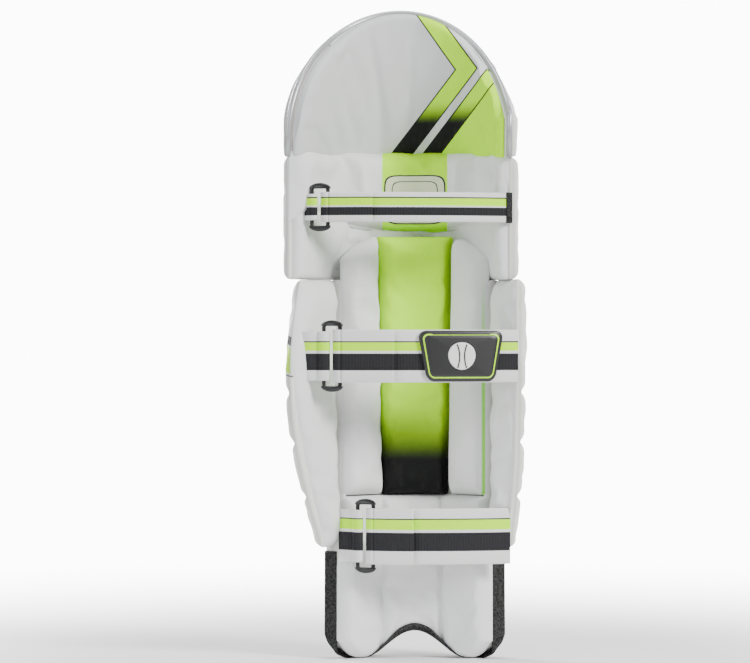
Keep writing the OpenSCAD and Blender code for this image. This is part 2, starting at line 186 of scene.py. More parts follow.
def lines(breaks, step):
    """Grid positions that fall on every break, at most a step apart."""
    out = [breaks[0]]
    for a, b in zip(breaks, breaks[1:]):
        cells = max(2, int(math.ceil(abs(b - a) / step)))
        out += [a + (b - a) * (k + 1) / cells for k in range(cells)]
    return np.array(out)


def sewn_distance(values, breaks):
    """Distance of each value from its nearest break."""
    return np.min(np.abs(values[:, None] - np.asarray(breaks)[None, :]), axis=1)


def roundness(values, breaks, radius):
    """0 on a break, rising round to 1 at a radius from it."""
    t = np.clip(sewn_distance(values, breaks) / radius, 0, 1)
    return np.sqrt(np.clip(1 - (1 - t) ** 2, 0, 1))


def ripple(points, size, seed):
    """Smooth repeatable waves between -1 and 1, for soft unevenness."""
    rng = np.random.default_rng(seed)
    total = np.zeros(points.shape[:-1])
    for _ in range(6):
        direction = rng.normal(size=3)
        direction *= 2 * math.pi / (size * np.linalg.norm(direction))
        total += np.sin(points @ direction + rng.uniform(0, 2 * math.pi))
    return total / 6


def grid_faces(rows, cols, offset=0, flip=False):
    faces = []
    for i in range(rows - 1):
        for j in range(cols - 1):
            a = offset + i * cols + j
            quad = (a, a + 1, a + cols + 1, a + cols)
            faces.append(quad[::-1] if flip else quad)
    return faces


def closed_sheet(front, back):
    """Vertices and faces of a closed panel from two equal grids of points."""
    rows, cols = front.shape[:2]
    count = rows * cols
    verts = np.concatenate([front.reshape(-1, 3), back.reshape(-1, 3)])
    faces = grid_faces(rows, cols) + grid_faces(rows, cols, count, True)
    ring = [j for j in range(cols)]
    ring += [i * cols + cols - 1 for i in range(1, rows)]
    ring += [(rows - 1) * cols + j for j in range(cols - 2, -1, -1)]
    ring += [i * cols for i in range(rows - 2, 0, -1)]
    for a, b in zip(ring, ring[1:] + ring[:1]):
        faces.append((b, a, a + count, b + count))
    return verts, faces


QUILTS = []


def quilt(name, wall, s_breaks, z_breaks, puff, materials, face=0.0, back=-10 * MM, round_s=9 * MM,
          round_z=9 * MM, fit=None, dimples=(), step=(4.5 * MM, 6 * MM), soft=0.5, give=3 * MM):
    """A padded panel sewn along its breaks. A negative puff swells inwards, towards the leg.

    fit moves the grid's s and z to the panel's true outline. Dimples are tacked points of the face. give is
    how far the cloth may carry a point."""
    s_lines = lines(s_breaks, step[0])
    z_lines = lines(z_breaks, step[1])
    swell = roundness(z_lines, z_breaks, round_z)[:, None] * roundness(s_lines, s_breaks, round_s)[None, :]
    s, z = np.meshgrid(s_lines, z_lines)
    height = puff(s, z) if callable(puff) else np.full(s.shape, puff)
    depth = face - SEAM_DROP * np.sign(np.mean(height)) * (swell < 0.01) + height * swell
    tacked = swell < 0.01
    for ds, dz in dimples:
        away = np.hypot(s - ds, z - dz)
        depth -= 0.42 * height * np.exp(-((away / (5.5 * MM)) ** 2))
        tacked |= away <= 5 * MM
    if fit:
        s, z = fit(s, z)
    base = wall.point(s, z, depth)
    wobble = ripple(base, 70 * MM, len(name)) + 0.5 * ripple(base, 26 * MM, len(name) + 7)
    depth = depth + wobble * soft * MM * swell
    front = wall.point(s, z, depth)
    rear = wall.point(s, z, back(s, z) if callable(back) else np.full(s.shape, back))
    verts, faces = closed_sheet(front, rear)
    obj = mesh_object(name, verts, faces, materials)
    # Mask for painted shade in the grooves: 1 on each seam, falling to 0 within 3 mm of it.
    groove = obj.data.attributes.new("groove", "FLOAT", "POINT")
    groove_shade_mask = np.clip(1 - sewn_distance(s_lines, s_breaks)[None, :] / (3 * MM), 0, 1)
    groove_shade_mask = np.maximum(groove_shade_mask, np.clip(1 - sewn_distance(z_lines, z_breaks)[:, None] / (3 * MM), 0, 1))
    groove.data.foreach_set("value", np.concatenate([groove_shade_mask.ravel(), np.zeros(s.size)]))
    obj["give"] = give
    pins = obj.vertex_groups.new(name="sewn")
    pins.add([int(i) for i in np.flatnonzero(tacked.ravel())], 1.0, "REPLACE")
    pins.add(list(range(s.size, 2 * s.size)), 1.0, "REPLACE")
    QUILTS.append(obj)
    return obj


def stuff(objects, frames=14, pressure=3.5, spare_cloth=0.02):
    """Blows the sewn panels up as cloth, so that they swell and crease between their seams."""
    scene = bpy.context.scene
    scene.frame_start = 1
    scene.frame_end = frames
    rest = {}
    for obj in objects:
        cloth = obj.modifiers.new("Cloth", "CLOTH")
        cloth.point_cache.frame_start = 1
        cloth.point_cache.frame_end = frames
        c = cloth.settings
        c.quality = 5
        c.mass = 0.25
        c.air_damping = 4
        c.tension_stiffness = 30
        c.compression_stiffness = 30
        c.shear_stiffness = 10
        c.bending_stiffness = 1.2
        c.use_pressure = True
        c.uniform_pressure_force = pressure
        c.shrink_min = -spare_cloth
        c.vertex_group_mass = "sewn"
        c.pin_stiffness = 1
        c.effector_weights.gravity = 0
        cloth.collision_settings.use_collision = False
        co = np.zeros(len(obj.data.vertices) * 3)
        obj.data.vertices.foreach_get("co", co)
        rest[obj.name] = co.reshape(-1, 3)
    for f in range(1, frames + 1):
        scene.frame_set(f)
    graph = bpy.context.evaluated_depsgraph_get()
    for obj in objects:
        moved = np.zeros(len(obj.data.vertices) * 3)
        obj.evaluated_get(graph).data.vertices.foreach_get("co", moved)
        shift = moved.reshape(-1, 3) - rest[obj.name]
        far = np.linalg.norm(shift, axis=1, keepdims=True)
        shift *= np.minimum(1, obj["give"] / np.maximum(far, 1e-9))
        obj.modifiers.clear()
        obj.data.vertices.foreach_set("co", (rest[obj.name] + np.nan_to_num(shift)).ravel())
        obj.data.update()
    scene.frame_set(1)


def subdivide(obj):
    """Rounds a piece off by one level, kept in its mesh."""
    smooth = obj.modifiers.new("Smooth", "SUBSURF")
    smooth.levels = 1
    smooth.render_levels = 1
    graph = bpy.context.evaluated_depsgraph_get()
    mesh = bpy.data.meshes.new_from_object(obj.evaluated_get(graph))
    obj.modifiers.clear()
    obj.data = mesh
    mesh.polygons.foreach_set("use_smooth", [True] * len(mesh.polygons))


def sweep(name, path, section, materials):
    """A tube along a path. section(i) gives the corner offsets of ring i as an array of vectors."""
    rings = [path[i] + section(i) for i in range(len(path))]
    sides = len(rings[0])
    verts = np.concatenate(rings)
    faces = []
    for i in range(len(path) - 1):
        a = i * sides
        b = a + sides
        for k in range(sides):
            n = (k + 1) % sides
            faces.append((a + k, a + n, b + n, b + k))
    faces.append(tuple(range(sides))[::-1])
    faces.append(tuple(range(len(verts) - sides, len(verts))))
    return mesh_object(name, verts, faces, materials)


def round_section(path, radius, sides=10):
    """Ring offsets of a round cord along a path."""
    tangents = np.gradient(path, axis=0)
    tangents /= np.linalg.norm(tangents, axis=1, keepdims=True)
    turn = np.linspace(0, 2 * math.pi, sides, endpoint=False)

    def section(i):
        side = np.cross(tangents[i], (0.12, 1.0, 0.07))
        side /= np.linalg.norm(side)
        other = np.cross(tangents[i], side)
        return radius * (np.cos(turn)[:, None] * side + np.sin(turn)[:, None] * other)

    return section


# ---- materials ----


class Shader:
    """A principled material that is built up from small node steps."""

    def __init__(self, name, colour, roughness, **settings):
        self.material = bpy.data.materials.new(name)
        self.material.use_nodes = True
        self.tree = self.material.node_tree
        self.main = self.tree.nodes["Principled BSDF"]
        self.main.inputs["Base Color"].default_value = (*colour, 1)
        self.main.inputs["Roughness"].default_value = roughness
        for key, value in settings.items():
            self.main.inputs[key.replace("_", " ")].default_value = value
        self.material.diffuse_color = (*colour, 1)
        self.place = self.node("ShaderNodeTexCoord").outputs["Object"]
        self.colour = None
        self.height = None

    def node(self, kind, **inputs):
        made = self.tree.nodes.new(kind)
        for key, value in inputs.items():
            self.feed(made.inputs[key], value)
        return made

    def feed(self, socket, value):
        if isinstance(value, bpy.types.NodeSocket):
            self.tree.links.new(value, socket)
        else:
            socket.default_value = value

    def maths(self, operation, a, b=0.0, c=None):
        made = self.tree.nodes.new("ShaderNodeMath")
        made.operation = operation
        self.feed(made.inputs[0], a)
        self.feed(made.inputs[1], b)
        if c is not None:
            self.feed(made.inputs[2], c)
        return made.outputs[0]

    def axes(self):
        split = self.node("ShaderNodeSeparateXYZ", Vector=self.place)
        return split.outputs["X"], split.outputs["Y"], split.outputs["Z"]

    def above(self, value, edge, soft=0.4 * MM):
        """0 below the edge and 1 above it."""
        made = self.tree.nodes.new("ShaderNodeMapRange")
        made.interpolation_type = "SMOOTHSTEP"
        self.feed(made.inputs["Value"], value)
        made.inputs["From Min"].default_value = edge - soft
        made.inputs["From Max"].default_value = edge + soft
        return made.outputs["Result"]

    def between(self, value, low, high, soft=0.4 * MM):
        return self.maths("SUBTRACT", self.above(value, low, soft), self.above(value, high, soft))

    def paint(self, mask, colour):
        """Lays a colour over what is there, where the mask is 1."""
        mix = self.tree.nodes.new("ShaderNodeMix")
        mix.data_type = "RGBA"
        self.feed(mix.inputs["Factor"], mask)
        under = self.colour or (*self.main.inputs["Base Color"].default_value[:3], 1)
        self.feed(mix.inputs[6], under)
        self.feed(mix.inputs[7], colour if isinstance(colour, bpy.types.NodeSocket) else (*colour, 1))
        self.colour = mix.outputs[2]

    def noise(self, scale, detail=3.0, rough=0.5, stretch=None):
        place = self.place
        if stretch:
            place = self.node("ShaderNodeMapping", Vector=self.place, Scale=stretch).outputs[0]
        made = self.node("ShaderNodeTexNoise", Vector=place, Scale=scale, Detail=detail, Roughness=rough)
        return made.outputs[0]

    def cells(self, scale):
        return self.node("ShaderNodeTexVoronoi", Vector=self.place, Scale=scale).outputs["Distance"]

    def waves(self, scale, axis):
        wave = self.tree.nodes.new("ShaderNodeTexWave")
        wave.bands_direction = axis
        self.feed(wave.inputs["Vector"], self.place)
        wave.inputs["Scale"].default_value = scale
        return wave.outputs["Fac"]

    def raise_by(self, value, amount):
        step = self.maths("MULTIPLY", value, amount)
        self.height = step if self.height is None else self.maths("ADD", self.height, step)

    def shade_grooves(self, share=0.42):
        """Darkens the colour along the sewn grooves: painted shade, standing in for the shadow that gathers
        there.
        """
        groove = self.tree.nodes.new("ShaderNodeAttribute")
        groove.attribute_name = "groove"
        # A grey laid over the colour near each seam as painted shade.
        painted_shade = self.maths("MULTIPLY", self.maths("POWER", groove.outputs["Fac"], 1.5), share)
        self.paint(painted_shade, (0.20, 0.20, 0.20))

    def done(self, strength=0.5, distance=1 * MM):
        if self.colour is not None:
            self.tree.links.new(self.colour, self.main.inputs["Base Color"])
        if self.height is not None:
            bump = self.node("ShaderNodeBump", Height=self.height, Strength=strength, Distance=distance)
            self.tree.links.new(bump.outputs[0], self.main.inputs["Normal"])
        return self.material


def leather_grain(shader, tint=0.94):
    """Fine pebbled grain and a little uneven shade, as on coated pad leather."""
    base = shader.main.inputs["Base Color"].default_value[:3]
    shader.paint(shader.above(shader.noise(14, 4), 0.58, 0.22), [c * tint for c in base])
    shader.raise_by(shader.cells(950), 0.5)
    shader.raise_by(shader.noise(420, 4), 0.45)
    shader.raise_by(shader.noise(70, 3), 0.8)


def coated_white():
    shader = Shader("coated_white", WHITE, 0.42, Coat_Weight=0.08)
    leather_grain(shader)
    # Painted shade in the sewn grooves.
    shader.shade_grooves()
    return shader.done(0.38, 0.7 * MM)


def coated_grey():
    shader = Shader("coated_grey", GREY, 0.55)
    shader.raise_by(shader.noise(650, 5), 1.0)
    shader.paint(shader.above(shader.noise(900, 3), 0.55, 0.1), [c * 0.85 for c in GREY])
    return shader.done(0.4, 0.6 * MM)


def lining_weave(shader, depth=0.7):
    shader.raise_by(shader.waves(240, "Z"), 0.5 * depth)
    shader.raise_by(shader.waves(240, "X"), 0.5 * depth)
    shader.raise_by(shader.noise(60, 4), 1.6)


def lining_white():
    shader = Shader("lining_white", LINING, 0.72, Sheen_Weight=0.15)
    lining_weave(shader)
    return shader.done(0.35, 0.8 * MM)


def centre_stripe():
    """Lime that fades to black towards the ankle."""
    shader = Shader("centre_stripe", LIME, 0.7, Specular_IOR_Level=0.15)
    z = shader.axes()[2]
    dark = shader.maths("SUBTRACT", 1.0, shader.above(z, CALF_FOOT + 72 * MM, 34 * MM))
    shader.paint(dark, BLACK)
    lining_weave(shader, 0.5)
    return shader.done(0.3, 0.7 * MM)


def bolster_edge_stripe():
    """White lining with one thin green line down the calf."""
    shader = Shader("lining_line", LINING, 0.72, Sheen_Weight=0.15)
    x, _, z = shader.axes()
    line = shader.between(x, -79 * MM, -75 * MM, 0.8 * MM)
    fade = shader.maths("SUBTRACT", 1.0, shader.above(z, CALF_HEAD - 90 * MM, 60 * MM))
    shader.paint(shader.maths("MULTIPLY", line, fade), (0.30, 0.78, 0.10))
    lining_weave(shader)
    return shader.done(0.35, 0.8 * MM)


def knee_cushion_cloth():
    """White lining with a lime field in the middle, and a pale plain label frame on it."""
    shader = Shader("knee_cushion_cloth", LINING, 0.75, Specular_IOR_Level=0.15)
    x, _, z = shader.axes()
    side = shader.maths("ABSOLUTE", x)
    shader.paint(shader.between(side, -1, 37 * MM, 0.8 * MM), LIME)
    label_z = shader.maths("ABSOLUTE", shader.maths("SUBTRACT", z, HAT_BASE - 44 * MM))
    wide = shader.maths("POWER", shader.maths("DIVIDE", side, 35 * MM), 6.0)
    tall = shader.maths("POWER", shader.maths("DIVIDE", label_z, 28 * MM), 6.0)
    label = shader.maths("POWER", shader.maths("ADD", wide, tall), 1 / 6)
    shader.paint(shader.between(label, -1, 1.0, 0.01), (0.74, 0.80, 0.55))
    shader.paint(shader.between(label, 0.95, 1.0, 0.01), CHARCOAL)
    shader.paint(shader.between(label, 0.72, 0.75, 0.01), CHARCOAL)
    lining_weave(shader)
    return shader.done(0.35, 0.8 * MM)


def hat_lining_cloth():
    """Silver-grey lining with lime and black bands that bend half way up."""
    shader = Shader("hat_lining_cloth", (0.60, 0.61, 0.62), 0.65, Specular_IOR_Level=0.2)
    x, _, z = shader.axes()
    bend_z = HAT_BASE + 102 * MM
    over = shader.maths("SUBTRACT", z, bend_z)
    rise = shader.maths("MULTIPLY", shader.maths("MAXIMUM", over, 0.0), 0.70)
    fall = shader.maths("MULTIPLY", shader.maths("MAXIMUM", shader.maths("MULTIPLY", over, -1.0), 0.0), 0.78)
    corner = shader.maths("ADD", rise, fall)
    run = shader.maths("SUBTRACT", shader.maths("SUBTRACT", corner, 46 * MM), x)
    shader.paint(shader.above(run, 0.0), LIME)
    low = shader.maths("SUBTRACT", 1.0, shader.above(z, HAT_BASE + 56 * MM, 14 * MM))
    shader.paint(shader.maths("MULTIPLY", low, shader.between(run, 0.0, 56 * MM)), BLACK)
    shader.paint(shader.between(run, 24 * MM, 36 * MM), (0.66, 0.67, 0.68))
    for edge in (0.0, 24, 36, 56):
        shader.paint(shader.between(run, (edge - 0.9) * MM, (edge + 0.9) * MM, 0.3 * MM), BLACK)
    lining_weave(shader, 0.5)
    return shader.done(0.3, 0.7 * MM)


def wing_print():
    """White coated cover with a slanted lime band, black at the seam, between thin dark lines."""
    shader = Shader("wing_print", WHITE, 0.42, Coat_Weight=0.08)
    leather_grain(shader)
    _, y, z = shader.axes()
    back = shader.maths("ADD", y, 57 * MM)
    slope = shader.maths("MULTIPLY", back, 0.62)
    curve = shader.maths("MULTIPLY", shader.maths("MULTIPLY", back, back), -1.35)
    level = shader.maths("ADD", shader.maths("ADD", z, slope), curve)
    top = SHIN_TOP - 18 * MM
    shader.paint(shader.between(level, top - 9 * MM, top), BLACK)
    band = (level, top - 36 * MM, top - 11 * MM)
    shader.paint(shader.between(*band), LIME)
    near_seam = shader.maths("SUBTRACT", 1.0, shader.above(y, -36 * MM, 7 * MM))
    shader.paint(shader.maths("MULTIPLY", near_seam, shader.between(*band)), BLACK)
    shader.paint(shader.between(level, top - 39.5 * MM, top - 38 * MM, 0.3 * MM), CHARCOAL)
    # Painted shade in the sewn grooves.
    shader.shade_grooves(0.4)
    return shader.done(0.38, 0.7 * MM)


def strap_webbing(name, low, high, shares):
    """Woven webbing with stripes by height: a thin dark line, a lime stripe and a ribbed dark stripe."""
    shader = Shader(name, (0.74, 0.745, 0.74), 0.7, Specular_IOR_Level=0.12)
    z = shader.axes()[2]
    width = high - low
    thin, lime_low, dark_high, dark_low = [low + share * width for share in shares]
    shader.paint(shader.between(z, lime_low, thin), LIME)
    shader.paint(shader.between(z, thin, thin + 1.3 * MM, 0.2 * MM), BLACK)
    dark = shader.between(z, dark_low, dark_high)
    shader.paint(dark, CHARCOAL)
    shader.raise_by(shader.maths("MULTIPLY", shader.waves(95, "X"), dark), 1.4)
    shader.raise_by(shader.waves(420, "X"), 0.3)
    shader.raise_by(shader.waves(420, "Z"), 0.3)
    return shader.done(0.45, 0.6 * MM)


def plain(name, colour, roughness, grain=500, amount=0.6, **settings):
    shader = Shader(name, colour, roughness, **settings)
    shader.raise_by(shader.noise(grain, 3), amount)
    return shader.done(0.3, 0.5 * MM)


def binding_tape():
    shader = Shader("binding_tape", BLACK, 0.75, Specular_IOR_Level=0.2)
    spots = shader.cells(420)
    shader.paint(shader.above(spots, 0.45, 0.15), (0.03, 0.03, 0.03))
    shader.raise_by(spots, 1.2)
    return shader.done(0.6, 0.7 * MM)


def cane_wood():
    shader = Shader("cane_wood", (0.52, 0.35, 0.16), 0.45)
    shader.paint(shader.noise(90, 4, 0.6, (1, 1, 0.06)), (0.66, 0.48, 0.25))
    shader.raise_by(shader.noise(300, 3, 0.5, (1, 1, 0.05)), 0.6)
    return shader.done(0.4, 0.4 * MM)


M = {
    "white": coated_white(),
    "grey": coated_grey(),
    "lining": lining_white(),
    "stripe": centre_stripe(),
    "line": bolster_edge_stripe(),
    "cushion": knee_cushion_cloth(),
    "hat": hat_lining_cloth(),
    "wing": wing_print(),
    "binding": binding_tape(),
    "cane": cane_wood(),
    "black": plain("moulded_black", BLACK, 0.35),
    "badge": plain("badge_black", (0.02, 0.02, 0.021), 0.4),
    "lime": plain("badge_lime", LIME, 0.4),
    "ball": plain("badge_white", (0.78, 0.78, 0.77), 0.4),
    "piping": plain("piping_silver", (0.42, 0.43, 0.44), 0.3, 300, 0.4, Metallic=0.35),
    "hook": plain("hook_tape", (0.02, 0.02, 0.02), 0.85, 1500, 1.5),
}


# ---- outlines ----


def lobe_bottom(x):
    """Height of the pad's lower edge at x: a smooth notch between two round lobes."""
    away = np.minimum(np.abs(np.abs(x) - LOBE_X), LOBE_R * 0.995)
    lobe = LOBE_R - LOBE_SINK - np.sqrt(LOBE_R**2 - away**2)
    notch = (NOTCH_H + LOBE_SINK) * np.cos(math.pi / 2 * x / LOBE_X) ** 2 - LOBE_SINK
    return np.maximum(np.where(np.abs(x) < LOBE_X, notch, lobe), 0)


def shin_fit(inset, depth=0.0):
    """Bends the foot of a shin panel to the two lobes, as they are cut through its layer."""
    blend_top = 112 * MM

    def fit(s, z):
        x = SHIN.flat(s, depth)[0]
        low = lobe_bottom(x) + inset
        return s, np.where(z < blend_top, low + (blend_top - low) * z / blend_top, z)

    return fit


def hat_rim(s, inset=0.0):
    """Height of the top hat's rim at a length round the wall."""
    x = HAT.flat(s, 0.0)[0]
    across = np.clip((x - HAT_RIM_X) / (HAT_RIM_HALF_W - inset), -0.998, 0.998)
    return HAT_BASE + (PAD_TOP - HAT_BASE - inset) * (1 - across**2) ** 0.43


def hat_fit(foot, inset):
    """Bends the head of a top hat panel to the rim. z runs from the foot to PAD_TOP."""

    def fit(s, z):
        share = (z - foot) / (PAD_TOP - foot)
        return s, foot + share * np.maximum(hat_rim(s, inset) - foot, 4 * MM)

    return fit


def wing_rear(points):
    """Smooth rear edge of a wing: y at a height, from a few heights and depths."""
    heights, ys = zip(*points)

    def edge(z):
        return np.interp(z, heights, ys)

    return edge


OUTER_REAR = wing_rear([(122 * MM, -21 * MM), (150 * MM, -12 * MM), (180 * MM, 0), (210 * MM, 12 * MM),
                        (240 * MM, 24 * MM), (265 * MM, 34.5 * MM), (290 * MM, 43 * MM), (310 * MM, 47 * MM),
                        (330 * MM, 47 * MM), (350 * MM, 43 * MM), (372 * MM, 35 * MM), (400 * MM, 22 * MM),
                        (423 * MM, 12 * MM)])
INNER_REAR = wing_rear([(122 * MM, -14 * MM), (160 * MM, -8 * MM), (240 * MM, 8 * MM), (340 * MM, 15 * MM),
                        (423 * MM, 9 * MM)])


def wing_fit(rear, side):
    """Stretches a wing panel from the seam to its rear edge. s runs from 0 to WING_SPAN."""
    cache = {}

    def fit(s, z):
        reach = np.empty(s.shape)
        for i in range(s.shape[0]):
            height = float(z[i, 0])
            if height not in cache:
                cache[height] = SHIN.length_to_y(float(rear(height)), height, side)
            reach[i] = cache[height]
        start = side * (SHIN.edge + 0.7 * MM)
        near_head = np.clip((z - SHIN_TOP + 60 * MM) / (60 * MM), 0, 1)
        fall = max(side, 0) * 1.2 * MM * np.clip(s / WING_SPAN, 0, 1) ** 0.55 * near_head
        return start + (reach - start) * s / WING_SPAN, z - fall

    return fit


def dress(obj, body, slot, *nodes):
    """Rides a piece on its body and hides the plain solids that it stands for. slot is not used."""
    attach(obj, body)
    if nodes:
        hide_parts(*nodes)


# ---- shin ----


def channel_breaks(half):
    return [half * (2 * k / CHANNELS - 1) for k in range(CHANNELS + 1)]


def shin_pieces():
    half = SHIN.edge - 1.2 * MM
    breaks = channel_breaks(half)

    def swell(s, z):
        cap = 8 * MM / (1 + np.exp((CAP_Z - z) / (1.2 * MM)))
        under_patch = (np.abs(s) < 52 * MM) & (z < INSTEP_TOP)
        return np.where(under_patch, 0.8 * MM, 6.5 * MM + 0.6 * cap)

    cover = quilt("shin_cover", SHIN, breaks, [0, CAP_Z, SHIN_EDGE_Z], swell, [M["white"]],
                  back=shin_back, round_s=15 * MM, round_z=16 * MM, fit=shin_fit(3 * MM))
    patch = quilt("instep_panel", SHIN, [-50 * MM, 50 * MM], [0, INSTEP_TOP], 4.5 * MM, [M["white"]],
                  face=1.6 * MM, back=-8 * MM, round_s=14 * MM, round_z=14 * MM, fit=instep_fit(), soft=0.2,
                  give=0.8 * MM)
    wrap = SHIN.edge + 1 * MM
    calf = [CALF_FOOT, CALF_HEAD]
    ankle = quilt("ankle_lining", SHIN, [-wrap, -41 * MM, 52 * MM, wrap], [0, CALF_FOOT], -6 * MM,
                  [M["lining"]],
                  face=-28 * MM, back=-12.5 * MM, round_s=16 * MM, round_z=10 * MM, fit=ankle_fit())
    centre = quilt("calf_centre_cloth", SHIN, [-54 * MM, 54 * MM], calf, -7 * MM, [M["stripe"]],
                   face=-30 * MM, back=-15 * MM, round_s=18 * MM, round_z=9 * MM, fit=taper_fit(0.86))
    outer = quilt("calf_bolster_outer_cloth", SHIN, [55 * MM, half], calf, -14 * MM,
                  [M["lining"]], face=-26 * MM, back=-15 * MM, round_s=30 * MM, round_z=18 * MM, soft=1.0,
                  fit=spread_fit(0.86, half))
    inner = quilt("calf_bolster_inner_cloth", SHIN, [-half, -55 * MM], calf, -14 * MM,
                  [M["line"]], face=-26 * MM, back=-15 * MM, round_s=30 * MM, round_z=18 * MM, soft=1.2,
                  fit=spread_fit(0.86, half))
    dress(cover, "shin_guard", "pu_white", "shin_facing", "shin_foam")
    dress(patch, "shin_guard", "pu_white", "instep_patch", "instep_foam")
    dress(ankle, "shin_guard", "lining_white", "ankle_liner", "shin_backing")
    dress(centre, "shin_guard", "lime_fabric", "calf_centre_panel")
    dress(outer, "shin_guard", "lining_white", "calf_bolster_outer")
    dress(inner, "shin_guard", "lining_white", "calf_bolster_inner")


def ankle_fit():
    """Follows the lobes with rounded outer corners, and draws in beside the wings."""
    lobes = shin_fit(0.5 * MM, -24 * MM)

    def fit(s, z):
        s, z = lobes(s, z)
        corner = 18 * MM * np.clip((np.abs(s) - 84 * MM) / (32 * MM), 0, 1) ** 2
        z = z + corner * np.clip(1 - z / (112 * MM), 0, 1)
        return s * (1 - 0.02 * np.clip((z - 104 * MM) / (14 * MM), 0, 1)), z

    return fit


def shin_back(s, z):
    """The cover's hidden side, turned in deeper along its two side edges."""
    return -16 * MM - 11 * MM * np.clip((np.abs(s) - SHIN.edge + 7 * MM) / (4 * MM), 0, 1)


def instep_fit():
    """Arched head, curved sides and the lobes' notch as foot."""

    def fit(s, z):
        share = z / INSTEP_TOP
        waist = 1 - 0.10 * np.sin(math.pi * share)
        s = s * waist
        head = INSTEP_TOP - (s / 50e-3) ** 2 * 9 * MM
        low = lobe_bottom(SHIN.flat(s, 0.0)[0]) + 3 * MM
        return s, low + (head - low) * share

    return fit


def taper_fit(foot_share):
    """Narrows a panel evenly towards the ankle."""

    def fit(s, z):
        share = (z - CALF_FOOT) / (CALF_HEAD - CALF_FOOT)
        return s * (foot_share + (1 - foot_share) * share), z

    return fit


def spread_fit(foot_share, outer_edge):
    """Keeps a calf bolster's outer edge in place. Its inner edge follows the tapered centre panel."""

    def fit(s, z):
        share = (z - CALF_FOOT) / (CALF_HEAD - CALF_FOOT)
        inner = 55 * MM * (foot_share + (1 - foot_share) * share)
        run = (np.abs(s) - 55 * MM) / (outer_edge - 55 * MM)
        slope = 26 * MM * run**1.5 * np.clip((share - 0.7) / 0.3, 0, 1)
        return np.sign(s) * (inner + (outer_edge - inner) * run), z - slope

    return fit


def binding():
    """Black tape that closes the lower edge from front to back, round both lobes and up the sides."""
    edge = SHIN.edge - 0.5 * MM
    across = np.linspace(-1, 1, 97)
    s_path = edge * np.sin(across * math.pi / 2)
    up = np.linspace(0, 1, 22)[1:]
    s_all = np.concatenate([np.full(21, -edge), s_path, np.full(21, edge)])
    share = np.concatenate([up[::-1], np.zeros(97), up])

    def height(s, depth, share):
        low = lobe_bottom(SHIN.flat(s, depth)[0])
        return low + (BINDING_TOP - low) * share

    z_all = height(s_all, -16 * MM, share)
    middle = SHIN.point(s_all, z_all, np.full(s_all.shape, -16 * MM))
    inward = np.zeros((len(s_all), 2))
    inward[:, 0] = -np.sign(s_all) * np.clip((np.abs(s_all) - 0.85 * edge) / (0.15 * edge), 0, 1)
    inward[:, 1] = 1 - np.abs(inward[:, 0])
    profile = [(0, -3), (3, -0.6), (3.4, 3.2), (2.6, 5.5), (0.6, 3.5), (-3, 3.0), (-30, 3.4), (-35, 7.5),
               (-38, 8.5), (-38.6, 5), (-37, -0.6), (-33, -3), (-18, -3.4)]

    def section(i):
        points = []
        rearmost = -13 - 25.6 * np.clip((78 * MM - abs(s_all[i])) / (16 * MM), 0, 1)
        narrow = np.clip((78 * MM - abs(s_all[i])) / (50 * MM), 0, 1)
        for depth, inset in profile:
            if depth < -32:
                inset = (inset + 0.6) * narrow - 0.6
            depth = max(depth, rearmost + 0.05 * (depth + 38.6))
            s = s_all[i] + inward[i, 0] * max(inset, 0) * MM
            z = height(s_all[i], depth * MM, share[i]) + inward[i, 1] * max(inset, 0) * MM
            points.append(SHIN.point(s, max(z, 0.2 * MM), depth * MM))
        return np.array(points) - middle[i]

    tape = sweep("lobe_binding_tape", middle, section, [M["binding"]])
    dress(tape, "shin_guard", "binding_black", "lower_binding")


# ---- wings ----


def lining_swell(s, z):
    """Thick next to the calf bolster and thinner towards the rear edge."""
    return -20 * MM + 11 * MM * np.clip(s / WING_SPAN, 0, 1)


def wing_pieces():
    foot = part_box("outer_wing_cover")[0].z + 1 * MM
    stations = [foot, 196 * MM, 262 * MM, 316 * MM, SHIN_EDGE_Z]
    wings = ((1, "outer_wing", OUTER_REAR, "wing"), (-1, "inner_wing", INNER_REAR, "white"))
    for side, body, rear, cloth in wings:
        fit = wing_fit(rear, side)

        def slanted(s, z, fit=fit):
            """Quilt seams that fall towards the rear, flattening out at the wing's head and foot."""
            inside = np.sin(math.pi * (z - foot) / (SHIN_EDGE_Z - foot))
            return fit(s, z - 0.20 * s * np.clip(inside, 0, 1))

        cover = quilt(f"{body}_cover_cloth", SHIN, [0, WING_SPAN], stations, 4.5 * MM, [M[cloth]],
                      face=-0.5 * MM, back=-8 * MM, round_s=12 * MM, round_z=12 * MM, fit=slanted, soft=0.7)
        lining = quilt(f"{body}_lining_cloth", SHIN, [0, WING_SPAN], [foot, SHIN_EDGE_Z], lining_swell,
                       [M["lining"]], face=-8 * MM, back=-4 * MM, round_s=48 * MM, round_z=34 * MM,
                       fit=fit, soft=1.0)
        dress(cover, body, "pu_white", f"{body}_cover", f"{body}_foam")
        dress(lining, body, "lining_white", f"{body}_liner")


# ---- knee roll ----


